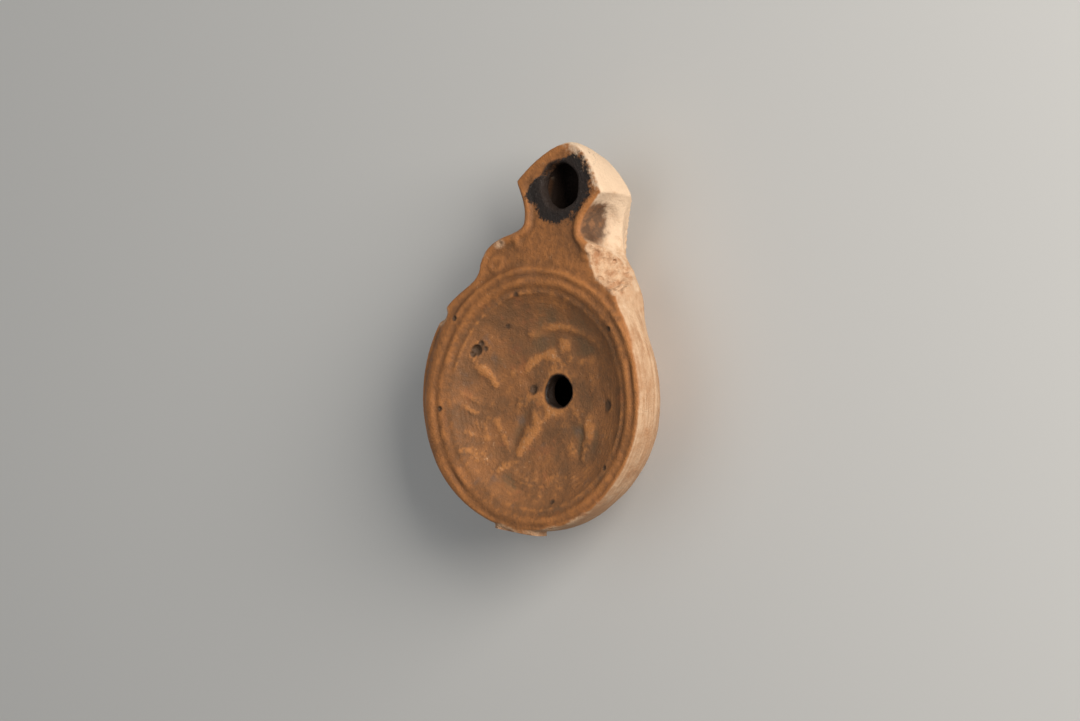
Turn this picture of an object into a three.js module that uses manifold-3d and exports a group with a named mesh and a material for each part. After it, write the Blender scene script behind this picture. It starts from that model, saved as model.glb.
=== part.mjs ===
// A Roman oil lamp of fired clay, pressed in an upper and a lower mould: a round, hollow body with a sunk
// disc framed by moulded rings, a filling hole beside the disc's centre, and an angular nozzle between volutes.
// Millimetres, +Z up. The origin is the centre of the flat base, on the surface the lamp stands on; the nozzle
// points along +Y. Everything is laid out about the middle of the disc, which sits a little off that centre.
import * as THREE from "three";
import { mergeVertices } from "three/addons/utils/BufferGeometryUtils.js";
import Module from "manifold-3d";

// Driving dimensions of the lamp.
const HEIGHT = 25; // base to the crest of the shoulder
const BODY_RADIUS = 36.9;
const BODY_BACK = 34.6; // the bowl is a little oval: its reach to the back
const BASE_RADIUS = 20.5;
const FOOT = { radius: 21.2, height: 0.9 }; // rounded edge of the base
const WIDEST = 19.5; // height of the body's greatest radius
const WALL = 3.2; // thickness of the pressed clay
const RING_RADIUS = 33.5; // crest of the outermost ring round the disc
const BOWL = { x: -2, y: 0.4 }; // middle of the lower mould's bowl, off the middle of the disc
const DISC_DEPTH = 5.7; // crest of the rings to the floor of the disc
const NOZZLE_TIP = 67; // middle of the disc to the tip of the nozzle
const NOZZLE_TOP = HEIGHT - 0.7;
const NOZZLE_EDGE = 11.5; // height of the lower edge of the nozzle's end walls
const TIP_DRIFT = 3.2; // the nozzle bends to the +X side, this far at its tip
const CORNER = { x: 14, y: 53.8 }; // the nozzle's side corners, at the top
const NECK = { x: 9.2, y: 42.8 }; // its narrowest place, between the corner and the volute
const LOBE = { x: 22.2, y: 30 }; // widest place of the volutes on the shoulder
const LOWER_EDGE = { spread: 24.3, side: 14.5 }; // half widths beside the body and at the neck, at the lower edge
const KEEL = { spread: 19, side: 13.2 }; // the same at the keel
const BOWL_ENDS = { from: 18, to: 32 }; // where the bowl's lean off the rings dies out toward the nozzle
const SCROLL = { x: 11, y: 39.6, radius: 1.7 }; // small knob where the volute leaves the neck
const EYE = { x: 17, y: 33.4, radius: 1.8 }; // eye of the volute
const SCOOP = { x: 15.2, y: 47.4, z: 20, radii: [5, 5, 6.5] }; // hollow in the side of the neck
const WICK_HOLE = { x: 1, y: 55.5, radius: 5.7, flare: 0.6 };
const FILLING_HOLE = { x: 4.2, y: 3.1, radius: 3.9, flare: 0.5 };

// Mesh fineness.
const TURNS = 60; // facets round the disc
const ARC_STEPS = 24; // facets of half the body's round
const INNER_TURNS = 28; // facets round the oil chamber
const CURVE_STEPS = 4; // straight steps in each curve of an outline

const EDGE_TIP = NOZZLE_TIP - 2.2; // tip at the lower edge
const FLATNESS = BODY_BACK / BODY_RADIUS;
const FLOOR = HEIGHT - DISC_DEPTH; // height of the disc's floor
const DISH = { radius: 27.6, rise: 4, power: 4 }; // the floor climbs this much to the lip of the disc

// Height of the disc's surface at a distance from the middle of its rings.
function dishHeight(radius) {
  return FLOOR + DISH.rise * (radius / DISH.radius) ** DISH.power;
}

const wasm = await Module();
wasm.setup();

// A closed three.js geometry as a solid that can be joined and cut.
function solidOf(geometry) {
  const bare = geometry.index ? geometry.toNonIndexed() : geometry.clone();
  bare.deleteAttribute("normal");
  bare.deleteAttribute("uv");
  const merged = mergeVertices(bare, 1e-4);
  const corners = merged.index.array;
  const faces = [];
  for (let i = 0; i < corners.length; i += 3) {
    const [a, b, c] = [corners[i], corners[i + 1], corners[i + 2]];
    if (a !== b && b !== c && c !== a) faces.push(a, b, c); // a pole's faces collapse to lines
  }
  const mesh = new wasm.Mesh({
    numProp: 3,
    vertProperties: merged.attributes.position.array,
    triVerts: new Uint32Array(faces),
  });
  return new wasm.Manifold(mesh);
}

// A solid as a three.js geometry.
function geometryOf(solid) {
  const mesh = solid.getMesh();
  const geometry = new THREE.BufferGeometry();
  geometry.setAttribute("position", new THREE.BufferAttribute(mesh.vertProperties, 3));
  geometry.setIndex(new THREE.BufferAttribute(mesh.triVerts, 1));
  const flat = geometry.toNonIndexed();
  flat.computeVertexNormals();
  return flat;
}

// A profile of radius and height, from the axis up and back to the axis, turned round the vertical through x, y.
// A flatness below 1 makes the round an oval, narrower from front to back.
function turned(profile, turns, { x, y } = { x: 0, y: 0 }, flatness = 1) {
  const geometry = new THREE.LatheGeometry(profile, turns);
  geometry.rotateX(Math.PI / 2);
  geometry.scale(1, flatness, 1);
  geometry.translate(x, y, 0);
  return solidOf(geometry);
}

// Outlines of equal length, each at its own height from the top down, skinned and closed by a cap at each end.
function lofted(levels) {
  const count = levels[0].outline.length;
  const positions = [];
  for (const { z, outline } of levels) for (const p of outline) positions.push(p.x, p.y, z);
  const faces = [];
  for (let level = 0; level + 1 < levels.length; level++) {
    for (let i = 0; i < count; i++) {
      const [a, b] = [level * count + i, level * count + ((i + 1) % count)];
      faces.push(a, a + count, b, b, a + count, b + count);
    }
  }
  const last = (levels.length - 1) * count;
  for (const [a, b, c] of THREE.ShapeUtils.triangulateShape(levels[0].outline, [])) faces.push(a, b, c);
  for (const [a, b, c] of THREE.ShapeUtils.triangulateShape(levels.at(-1).outline, [])) {
    faces.push(last + a, last + c, last + b);
  }
  const geometry = new THREE.BufferGeometry();
  geometry.setAttribute("position", new THREE.Float32BufferAttribute(positions, 3));
  geometry.setIndex(faces);
  return solidOf(geometry);
}

// A half outline on the +X side, from the body to the tip, with its mirror image: a closed ring, anticlockwise.
function mirrored(half) {
  const back = half
    .filter((p) => p.x > 1e-6)
    .map((p) => new THREE.Vector2(-p.x, p.y))
    .reverse();
  return [...half, ...back];
}

// An ellipsoid with its long axis turned about the vertical.
function lump(x, y, z, radii, turn = 0, detail = 10) {
  const geometry = new THREE.SphereGeometry(1, detail, Math.round(detail * 0.6));
  geometry.rotateX(Math.PI / 2);
  geometry.scale(...radii);
  geometry.rotateZ(turn);
  geometry.translate(x, y, z);
  return solidOf(geometry);
}

// Radius of the body's wall at a height: a bowl up to the widest place, then drawn in a little to the shoulder.
function wallRadius(z) {
  if (z > WIDEST) return BODY_RADIUS - ((z - WIDEST) / (HEIGHT - WIDEST)) ** 6;
  const share = Math.max(0, (z - FOOT.height) / (WIDEST - FOOT.height));
  return FOOT.radius + (BODY_RADIUS - FOOT.radius) * (1 - (1 - share) ** 1.75);
}

// Half of the nozzle seen from above: volute lobe, neck, corner, then the pointed end.
function topOutline() {
  const path = new THREE.Path();
  path.moveTo(LOBE.x + 0.3, LOBE.y - 1.6);
  path.quadraticCurveTo(LOBE.x + 0.4, LOBE.y - 0.8, LOBE.x, LOBE.y);
  path.bezierCurveTo(LOBE.x - 0.2, LOBE.y + 3, LOBE.x - 2.8, LOBE.y + 5.9, LOBE.x - 6.6, LOBE.y + 7.8);
  path.bezierCurveTo(NECK.x + 3.4, NECK.y - 3.5, NECK.x + 0.2, NECK.y - 2.4, NECK.x, NECK.y);
  path.bezierCurveTo(NECK.x - 0.1, NECK.y + 4.6, CORNER.x - 2.4, CORNER.y - 3.6, CORNER.x, CORNER.y);
  path.bezierCurveTo(CORNER.x - 2.2, CORNER.y + 4.2, 5.5, NOZZLE_TIP - 0.4, 0, NOZZLE_TIP);
  return path.getPoints(CURVE_STEPS);
}

// The same half where the nozzle's side is straighter: spread is its half width beside the body, side at the neck.
function sideOutline({ spread, side }) {
  const path = new THREE.Path();
  path.moveTo(spread, LOBE.y - 3);
  path.quadraticCurveTo(spread - 0.4, LOBE.y - 2, spread - 0.9, LOBE.y - 1);
  path.bezierCurveTo(spread - 2, LOBE.y + 1, (spread + side) / 2 + 0.8, LOBE.y + 3.5, (spread + side) / 2, 35.6);
  path.bezierCurveTo(side + 1.6, 38.6, side + 0.5, NECK.y - 1.4, side, NECK.y + 1.6);
  path.bezierCurveTo(side - 0.4, NECK.y + 4, CORNER.x - 0.4, CORNER.y - 2.6, CORNER.x + 1.1, CORNER.y + 0.9);
  path.bezierCurveTo(CORNER.x - 2, CORNER.y + 5, 5, EDGE_TIP - 0.6, 0, EDGE_TIP);
  return path.getPoints(CURVE_STEPS);
}

// A point of an outline where it came to lie: the back of the bowl flatter than round, the bowl off the rings,
// and the nozzle bending from its neck on.
function settled(p) {
  const y = p.y < 0 ? p.y * FLATNESS : p.y;
  const bowl = 1 - THREE.MathUtils.smoothstep(y, BOWL_ENDS.from, BOWL_ENDS.to);
  const bend = Math.max(0, (y - NECK.y) / (NOZZLE_TIP - NECK.y)) ** 2;
  return new THREE.Vector2(p.x + BOWL.x * bowl + TIP_DRIFT * bend, y + BOWL.y * bowl);
}

// The round of the base, with as many points as a level above it: those of the body's round up to the angle
// where the flank leaves it, and the flank's own spread evenly over the rest.
function baseOutline(count, from) {
  const half = count / 2;
  const points = [];
  for (let i = 0; i <= half; i++) {
    const beyond = (i - ARC_STEPS) / (half - ARC_STEPS);
    const degrees = beyond < 0 ? -90 + ((from + 90) * i) / ARC_STEPS : from + (90 - from) * beyond;
    const angle = THREE.MathUtils.degToRad(degrees);
    points.push(new THREE.Vector2(BASE_RADIUS * Math.cos(angle), BASE_RADIUS * Math.sin(angle)));
  }
  return mirrored(points).map((p) => p.add(BOWL));
}

// The outside of the lamp without its disc, as levels of one outline each: the round of the body, and from an
// angle on either side of it the flank of the nozzle. A level's form runs from the top outline (0) through the
// lower edge (1) to the keel (2); width narrows it and tip shortens it.
function outerForm() {
  const outlines = [topOutline(), sideOutline(LOWER_EDGE), sideOutline(KEEL)];
  const starts = [22, 17, 17]; // where each outline's flank leaves the body
  const levels = [
    { z: 0.9, from: 60, form: 2, width: 0.5, tip: 24.4 },
    { z: 2.7, from: 51, form: 2, width: 0.62, tip: 34 },
    { z: 5.3, from: 43, form: 1.8, width: 0.72, tip: 45.4 },
    { z: 8, from: 36, form: 1.5, width: 0.83, tip: 55.6 },
    { z: NOZZLE_EDGE - 1, from: 32, form: 1.2, width: 0.935, tip: EDGE_TIP - 1.9 },
    { z: NOZZLE_EDGE + 1, from: 31, form: 1.03, width: 0.99, tip: EDGE_TIP },
    { z: 14.2, from: 33, form: 0.86, width: 1, tip: EDGE_TIP + 0.4 },
    { z: 17, from: 37, form: 0.56, width: 1, tip: EDGE_TIP + 1.2 },
    { z: WIDEST, from: 42, form: 0.26, width: 1, tip: NOZZLE_TIP - 0.4 },
    { z: 21.8, from: 45, form: 0.08, width: 1, tip: NOZZLE_TIP },
    { z: NOZZLE_TOP - 0.9, from: 46, form: 0, width: 0.995, tip: NOZZLE_TIP - 0.1 },
    { z: NOZZLE_TOP, from: 46, form: 0, width: 0.96, tip: NOZZLE_TIP - 1 },
  ];
  const rings = levels.map(({ z, from, form, width, tip }) => {
    const radius = wallRadius(z);
    const leave = THREE.MathUtils.degToRad(from);
    const index = Math.min(Math.floor(form), 1);
    const start = radius * Math.sin(leave);
    const mixed = outlines[index].map((p, i) => p.clone().lerp(outlines[index + 1][i], form - index));
    const origin = THREE.MathUtils.lerp(starts[index], starts[index + 1], form - index);
    const shorten = (tip - start) / (mixed.at(-1).y - origin);
    const flank = mixed.map((p) => new THREE.Vector2(p.x * width, start + (p.y - origin) * shorten));
    const path = new THREE.Path();
    path.moveTo(0, -radius);
    for (let i = 1; i <= ARC_STEPS; i++) {
      const angle = THREE.MathUtils.lerp(-Math.PI / 2, leave, i / ARC_STEPS);
      path.lineTo(radius * Math.cos(angle), radius * Math.sin(angle));
    }
    const gap = path.currentPoint.distanceTo(flank[0]);
    const tangent = new THREE.Vector2(-Math.sin(leave), Math.cos(leave)).multiplyScalar(0.4 * gap);
    const arrival = flank[1].clone().sub(flank[0]).setLength(0.3 * gap);
    path.bezierCurveTo(
      path.currentPoint.x + tangent.x,
      path.currentPoint.y + tangent.y,
      flank[0].x - arrival.x,
      flank[0].y - arrival.y,
      flank[0].x,
      flank[0].y,
    );
    return { z, outline: mirrored([...path.getPoints(CURVE_STEPS - 1), ...flank.slice(1)]).map(settled) };
  });
  return lofted([...rings.reverse(), { z: 0, outline: baseOutline(rings[0].outline.length, levels[0].from) }]);
}

// The raised shoulder, a little inside the wall, from which the rings of the disc are cut.
function shoulder() {
  const radius = BODY_RADIUS - 1.1;
  const path = new THREE.Path();
  path.moveTo(0, WIDEST);
  path.lineTo(radius, WIDEST);
  path.lineTo(radius, NOZZLE_TOP);
  path.lineTo(radius - 0.6, HEIGHT);
  path.lineTo(0, HEIGHT);
  return turned(path.getPoints(1), TURNS, BOWL, FLATNESS);
}

// The turned groove inside the edge of the base.
function baseGroove() {
  const [inner, outer, depth] = [BASE_RADIUS - 4, BASE_RADIUS - 2.2, 0.5];
  const path = new THREE.Path();
  path.moveTo(inner - depth, -depth);
  path.lineTo(outer + depth, -depth);
  path.lineTo(outer - depth, depth);
  path.lineTo(inner + depth, depth);
  path.closePath();
  return turned(path.getPoints(1), TURNS, BOWL);
}

// What is pressed away above the disc: two rings with a groove after each, a fine line, and the hollow disc.
function discHollow() {
  const path = new THREE.Path();
  const crest = (inward, below) => path.lineTo(RING_RADIUS - inward, HEIGHT - below);
  path.moveTo(0, FLOOR);
  for (const share of [0.5, 0.65, 0.77, 0.86, 0.93, 1]) {
    path.lineTo(share * DISH.radius, dishHeight(share * DISH.radius));
  }
  crest(5.1, 1.15); // fine line at the lip of the disc
  crest(4.3, 1.4); // inner groove
  crest(3.5, 0.5);
  crest(2.6, 0.1); // inner ring
  crest(1.7, 0.45);
  crest(1.15, 0.95); // outer groove
  crest(0.6, 0.4);
  crest(-0.4, -0.5); // outer ring
  crest(-0.4, -6);
  path.lineTo(0, HEIGHT + 6);
  return turned(path.getPoints(1), TURNS);
}

// A raised ridge of oval section along a smooth route.
function ridge(route, width, height, steps) {
  const curve = new THREE.CatmullRomCurve3(route.map((point) => new THREE.Vector3(...point)));
  const section = new THREE.Shape();
  section.absellipse(0, 0, height, width / 2, 0, 2 * Math.PI);
  return solidOf(new THREE.ExtrudeGeometry(section, { steps, curveSegments: 4, extrudePath: curve }));
}

// The band along one side of the nozzle's top, from the corner past the neck to the volute's knob.
function voluteBand(side) {
  const route = [
    [CORNER.x - 2.3, CORNER.y - 0.2],
    [NECK.x + 0.7, NECK.y + 5.6],
    [NECK.x - 1.1, NECK.y + 1],
    [NECK.x - 0.7, NECK.y - 2.6],
    [SCROLL.x - 0.6, SCROLL.y - 0.8],
  ];
  return ridge(
    route.map(([x, y]) => {
      const place = settled(new THREE.Vector2(side * x, y));
      return [place.x, place.y, NOZZLE_TOP - 0.3];
    }),
    2,
    0.85,
    12,
  );
}

// The knob of each volute, and the eye of the one that is left.
function scrolls() {
  const knobs = [1, -1].map((side) =>
    lump(side * SCROLL.x, SCROLL.y, NOZZLE_TOP - 0.5, [SCROLL.radius, SCROLL.radius, 1.1]),
  );
  const eye = new THREE.TorusGeometry(EYE.radius, 0.7, 5, 12);
  eye.translate(-EYE.x, EYE.y, NOZZLE_TOP - 0.25);
  return knobs[0].add(knobs[1]).add(solidOf(eye));
}

// A low rounded bar lying on the disc from a to b, its width changing from one end to the other.
function limb({ a, b, widths, height }) {
  const sunk = 0.6; // how far its middle lies below the disc's surface
  const along = new THREE.Vector2(b[0] - a[0], b[1] - a[1]);
  const length = along.length();
  const [x, y] = [(a[0] + b[0]) / 2, (a[1] + b[1]) / 2];
  const bar = new THREE.CapsuleGeometry(1, length, 2, 8);
  const at = bar.attributes.position;
  for (let i = 0; i < at.count; i++) {
    const share = THREE.MathUtils.clamp(at.getY(i) / length + 0.5, 0, 1);
    const half = THREE.MathUtils.lerp(...widths, share) / 2;
    const end = at.getY(i) - (share - 0.5) * length; // part beyond the straight, kept as round as the end is wide
    at.setXYZ(i, at.getX(i) * half, (share - 0.5) * length + end * half, at.getZ(i) * (height + sunk));
  }
  bar.rotateZ(along.angle() - Math.PI / 2);
  bar.translate(x, y, dishHeight(Math.hypot(x, y)) - sunk);
  return solidOf(bar);
}

// The worn figure on the disc, under an arched veil: limbs and folds from a to b, with the width at each end.
function figure() {
  const limbs = [
    { a: [4.3, 13.4], b: [4.9, 15.4], widths: [4.6, 5], height: 1 }, // head
    { a: [1.6, -0.5], b: [4.6, 9.6], widths: [8.6, 10.6], height: 0.9 }, // trunk
    { a: [1.4, 11.2], b: [-6.4, 8.4], widths: [5, 3.8], height: 1 }, // upper arm, raised
    { a: [-6.4, 8.4], b: [-14.6, 3.8], widths: [3.8, 2.8], height: 0.7 }, // forearm
    { a: [-22.4, 8.2], b: [-15.8, 1.4], widths: [3.8, 2.4], height: 1 }, // torch in the hand
    { a: [7.4, 10], b: [13.2, 10.6], widths: [5.2, 6], height: 0.9 }, // lowered arm under the veil
    { a: [13.2, 10.6], b: [16.4, 3.4], widths: [5, 4], height: 0.6 }, // its cloth falling
    { a: [1.4, -1.4], b: [-2.6, -6], widths: [8, 6], height: 0.9 }, // thigh
    { a: [-2.6, -6], b: [-5.3, -14.4], widths: [5.6, 3.4], height: 1.1 }, // shin
    { a: [-5.8, -17.4], b: [-11, -18.8], widths: [4, 3], height: 0.9 }, // foot
    { a: [4.6, -1.8], b: [14.4, -3], widths: [8, 5.2], height: 0.7 }, // thigh, striding
    { a: [16, -3.6], b: [15.5, -11.8], widths: [4.8, 3.4], height: 1.1 }, // shin
    { a: [-1.6, 0.4], b: [-7.4, -1.2], widths: [5, 3.8], height: 0.8 }, // cloak over the hip
    { a: [-14.6, -6.6], b: [-8.4, -15.2], widths: [2.2, 3], height: 0.7 }, // edge of the cloak
    { a: [-16, -3.6], b: [-26, -1.8], widths: [2.6, 1.8], height: 0.7 }, // folds
    { a: [-17.6, -6.6], b: [-26.4, -4.4], widths: [2.8, 1.8], height: 0.8 },
    { a: [-17.8, -9.4], b: [-26.6, -7.2], widths: [2.8, 1.8], height: 0.8 },
    { a: [-17, -12.4], b: [-24.8, -11.4], widths: [2.8, 1.8], height: 0.8 },
    { a: [-15.8, -16.4], b: [-22.4, -16.2], widths: [3.8, 2.4], height: 0.8 },
    { a: [-2.4, -20.4], b: [6.2, -19.2], widths: [5, 5.8], height: 0.9 }, // rock by the foot
  ];
  const veil = [
    [-6.2, 16.6],
    [0.4, 18.9],
    [6, 19.6],
    [11.4, 18.8],
    [17, 16.2],
  ];
  const arc = veil.map(([x, y]) => [x, y, dishHeight(Math.hypot(x, y)) - 0.3]);
  return limbs.reduce((whole, part) => whole.add(limb(part)), ridge(arc, 1.8, 0.9, 10));
}

// The underside of the disc, a wall's thickness below it, from the ring over the widest part of the chamber to
// the axis, and as far below that as asked.
function undersideOfDisc(path, below) {
  path.lineTo(29.6, HEIGHT - WALL - 1.4 - below);
  path.quadraticCurveTo(22.6, FLOOR - WALL + 0.9 - below, 13, FLOOR - WALL - below);
  path.lineTo(0, FLOOR - WALL - 0.1 - below);
  return path;
}

// The oil chamber: a wall's thickness inside the body, arched over by the underside of the disc.
function chamber() {
  const path = new THREE.Path();
  path.moveTo(0, WALL);
  path.lineTo(BASE_RADIUS - 2.6, WALL + 0.2);
  path.bezierCurveTo(24.5, 7.2, BODY_RADIUS - 5.2, 12.4, BODY_RADIUS - WALL, HEIGHT - 5.8);
  path.quadraticCurveTo(BODY_RADIUS - WALL, HEIGHT - 3.9, 29.6, HEIGHT - WALL - 1.4);
  return turned(undersideOfDisc(path, 0).getPoints(5), INNER_TURNS, BOWL, FLATNESS);
}

// The clay of the disc and its rings, which the passage must not enter.
function discClay() {
  const path = new THREE.Path();
  path.moveTo(0, HEIGHT + 4);
  path.lineTo(31.6, HEIGHT + 4);
  path.lineTo(31.6, HEIGHT - WALL);
  return turned(undersideOfDisc(path, 0.1).getPoints(5).reverse(), INNER_TURNS, BOWL, FLATNESS);
}

// The passage from the chamber to the wick: a wall's thickness inside the nozzle, rising like its keel.
function passage() {
  const half = { width: NECK.x - 2.2, end: WICK_HOLE.y + 6.4 };
  const path = new THREE.Path();
  path.moveTo(half.width + 3, 14);
  path.bezierCurveTo(half.width + 2.6, 26, half.width, 34, half.width, NECK.y);
  path.lineTo(half.width, half.end - half.width);
  path.absarc(0, half.end - half.width, half.width, 0, Math.PI / 2, false);
  const outline = path.getPoints(4);
  const levels = [
    { z: NOZZLE_TOP - WALL, width: 0.82, reach: 0.97 },
    { z: NOZZLE_TOP - WALL - 1.4, width: 1, reach: 1 },
    { z: NOZZLE_EDGE + 2.6, width: 1, reach: 1 },
    { z: NOZZLE_EDGE + 0.8, width: 0.8, reach: 0.92 },
    { z: 8.8, width: 0.66, reach: 0.72 },
    { z: 6, width: 0.5, reach: 0.5 },
  ];
  return lofted(
    levels.map(({ z, width, reach }) => ({
      z,
      outline: mirrored(outline.map((p) => new THREE.Vector2(p.x * width, p.y * reach))).map(settled),
    })),
  ).subtract(discClay());
}

// A round hole down from above the clay, its mouth opened a little by the finger and by wear.
function hole({ x, y, radius, flare }, mouth, below) {
  const path = new THREE.Path();
  path.moveTo(0, below);
  path.lineTo(radius, below);
  path.lineTo(radius, mouth - 1.5 * flare - 0.4);
  path.lineTo(radius + flare, mouth + 0.3);
  path.lineTo(radius + flare, HEIGHT + 4);
  path.lineTo(0, HEIGHT + 4);
  return turned(path.getPoints(1), 24, { x, y });
}

// The hollows in the sides of the neck, between each volute and the corner of the nozzle.
function scoops() {
  const [right, left] = [1, -1].map((side) => lump(side * SCOOP.x, SCOOP.y, SCOOP.z, SCOOP.radii, 0, 12));
  return right.add(left);
}

// Old damage: the volute lost on the +X side, the scar below it, and the worn and chipped edge of the shoulder.
function damage() {
  const onRim = (degrees, radius, z, radii, detail = 9) => {
    const angle = THREE.MathUtils.degToRad(degrees);
    return lump(radius * Math.cos(angle), radius * Math.sin(angle), z, radii, angle + Math.PI / 2, detail);
  };
  return [
    lump(21.2, 36.6, HEIGHT, [9.4, 5.2, 9.5], -0.55, 12), // lost volute
    lump(25.6, 29.6, HEIGHT - 5.5, [1.6, 3.2, 2.4], 0.7, 8), // scar
    onRim(-57, 35.3, HEIGHT + 0.2, [7, 2.4, 2.2], 9),
    onRim(-43, 35.7, HEIGHT - 0.2, [3.6, 1.9, 2.2]),
    onRim(152, 38.8, HEIGHT - 1, [2.6, 1.6, 2.4]),
    lump(-22.8, 35.2, HEIGHT, [2.2, 1.2, 2], 0.8, 8),
  ].reduce((a, b) => a.add(b));
}

// The body and the nozzle, their carving, the old damage, and the hollow with its two holes.
function lampBody() {
  const form = outerForm().add(shoulder()).subtract(discHollow()).subtract(baseGroove()).subtract(scoops());
  const carving = [voluteBand(1), voluteBand(-1), scrolls(), figure()].reduce((a, b) => a.add(b));
  const hollow = chamber()
    .add(passage())
    .add(hole(WICK_HOLE, NOZZLE_TOP, NOZZLE_EDGE + 4))
    .add(hole(FILLING_HOLE, FLOOR, FLOOR - WALL - 3));
  return form.add(carving).subtract(damage()).subtract(hollow);
}

const clay = new THREE.MeshStandardMaterial({ color: 0xb9835a, roughness: 0.88, metalness: 0 });

const lamp = new THREE.Group();
const fromBase = geometryOf(lampBody()).translate(-BOWL.x, -BOWL.y, 0);
const body = new THREE.Mesh(fromBase, clay);
body.name = "lamp_body";
lamp.add(body);

export default lamp;
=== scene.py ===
"""A Roman oil lamp of fired clay, standing on a pale table: the worn and sooted skin over its solid form."""

import itertools
import math

import bpy
import numpy as np
from mathutils import Matrix, Vector


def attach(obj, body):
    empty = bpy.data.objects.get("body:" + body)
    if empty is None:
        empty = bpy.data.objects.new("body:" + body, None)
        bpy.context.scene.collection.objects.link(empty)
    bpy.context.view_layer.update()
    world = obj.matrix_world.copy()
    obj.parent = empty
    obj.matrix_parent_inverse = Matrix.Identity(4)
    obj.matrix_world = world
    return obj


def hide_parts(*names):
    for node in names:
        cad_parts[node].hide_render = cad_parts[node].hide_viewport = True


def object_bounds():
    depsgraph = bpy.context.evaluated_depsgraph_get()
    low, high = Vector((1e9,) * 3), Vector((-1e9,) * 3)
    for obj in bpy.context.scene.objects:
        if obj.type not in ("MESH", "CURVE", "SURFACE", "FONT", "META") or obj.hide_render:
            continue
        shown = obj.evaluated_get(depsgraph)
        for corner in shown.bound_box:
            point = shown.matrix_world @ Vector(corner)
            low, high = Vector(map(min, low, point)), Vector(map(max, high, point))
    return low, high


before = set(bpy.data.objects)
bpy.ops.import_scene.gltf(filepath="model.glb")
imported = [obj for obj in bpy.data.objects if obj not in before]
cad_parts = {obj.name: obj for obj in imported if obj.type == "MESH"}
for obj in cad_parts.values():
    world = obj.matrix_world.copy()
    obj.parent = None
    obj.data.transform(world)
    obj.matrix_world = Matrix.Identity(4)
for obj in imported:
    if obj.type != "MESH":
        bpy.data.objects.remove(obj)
solid_low, solid_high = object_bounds()

MM = 0.001

# --- Form of the lamp -------------------------------------------------------------------------------------
# Pressed clay, kept as a field of signed distances in millimetres on a grid (inside negative), laid out about
# the middle of the disc. The outline at each height runs round the bowl and along the flank of the nozzle to
# its tip.

HEIGHT = 25.0
BODY_RADIUS = 36.75
FLATNESS = 34.3 / 36.9  # the bowl is a little oval, narrower to the back
BOWL = (-2.0, 0.4)  # middle of the bowl, off the middle of the disc
TIP_DRIFT = 3.2  # the nozzle bends to the +X side, this far at its tip
BASE_RADIUS = 20.5
FOOT = 0.9  # height of the rounded edge of the base
FOOT_RADIUS = 21.2
WIDEST = 19.5  # height of the greatest radius
WALL = 3.2
NOZZLE_TIP = 66.8
EDGE_TIP = 64.6  # tip at the lower edge of the nozzle's end walls
NOZZLE_TOP = HEIGHT - 0.7
NOZZLE_EDGE = 11.5
CORNER = (14.0, 53.8)
NECK = (9.2, 42.8)
LOBE = (22.2, 30.0)
LOWER_EDGE = (24.2, 14.5)  # half widths of the nozzle beside the bowl and at the neck, at its lower edge
KEEL = (19.0, 13.2)  # the same at the keel
BOWL_ENDS = (18.0, 32.0)  # where the bowl's lean off the disc dies out toward the nozzle

STEP = 0.3  # grid spacing
COARSE = 0.6  # spacing for the slow outline distances
MARGIN = 1.2


def axis_points(low, high, step):
    return np.arange(math.floor(low / step), math.ceil(high / step) + 1, dtype=np.float32) * np.float32(step)


shift = np.array([*BOWL, 0.0])
low = np.array(solid_low) / MM + shift - MARGIN
high = np.array(solid_high) / MM + shift + MARGIN
xs, ys, zs = (axis_points(a, b, STEP) for a, b in zip(low, high))
X, Y, Z = xs[:, None, None], ys[None, :, None], zs[None, None, :]


def smooth_max(a, b, radius):
    """The greater of two fields, with a rounded edge of about that radius where they cross."""
    gap = np.maximum(radius - np.abs(a - b), 0)
    return np.maximum(a, b) + gap * gap / (4 * radius)


def smooth_min(a, b, radius):
    return -smooth_max(-a, -b, radius)


def ramp(value, start, end):
    """0 before start, 1 after end, easing between."""
    t = np.clip((value - start) / (end - start), 0, 1)
    return t * t * (3 - 2 * t)


def spread(values, points, low, step):
    """Stretches the first axis of an array, at low, low + step, ... onto points, easing between."""
    place = (points - low) / step
    index = np.clip(np.floor(place).astype(int), 0, len(values) - 2)
    share = place - index
    share = (share * share * (3 - 2 * share)).astype(np.float32).reshape(-1, *[1] * (values.ndim - 1))
    return values[index] * (1 - share) + values[index + 1] * share


def noise(size, seed, axes):
    """Smooth random lumps of about that size over the grid lines given, between about -1 and 1."""
    lows = [points[0] - size for points in axes]
    counts = [int((points[-1] - a) / size) + 3 for points, a in zip(axes, lows)]
    values = np.random.default_rng(seed).uniform(-1, 1, counts).astype(np.float32)
    for points, a in zip(axes, lows):
        values = np.moveaxis(spread(values, points, a, size), 0, -1)
    return values


def wall_radius(z):
    share = np.clip((z - FOOT) / (WIDEST - FOOT), 0, 1)
    bowl = FOOT_RADIUS + (BODY_RADIUS - FOOT_RADIUS) * (1 - (1 - share) ** 1.75)
    return bowl - (np.maximum(z - WIDEST, 0) / (HEIGHT - WIDEST)) ** 6


def chain(start, curves, steps=9):
    """Points along joined curves, each given by its one or two control points and its end."""
    points = [np.array([start], float)]
    t = (np.arange(1, steps + 1) / steps)[:, None]
    for curve in curves:
        p = [points[-1][-1], *[np.array(c, float) for c in curve]]
        if len(p) == 3:
            points.append((1 - t) ** 2 * p[0] + 2 * t * (1 - t) * p[1] + t * t * p[2])
        else:
            a, b = (1 - t) ** 3 * p[0] + 3 * t * (1 - t) ** 2 * p[1], 3 * t * t * (1 - t) * p[2]
            points.append(a + b + t**3 * p[3])
    return np.concatenate(points)


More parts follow.
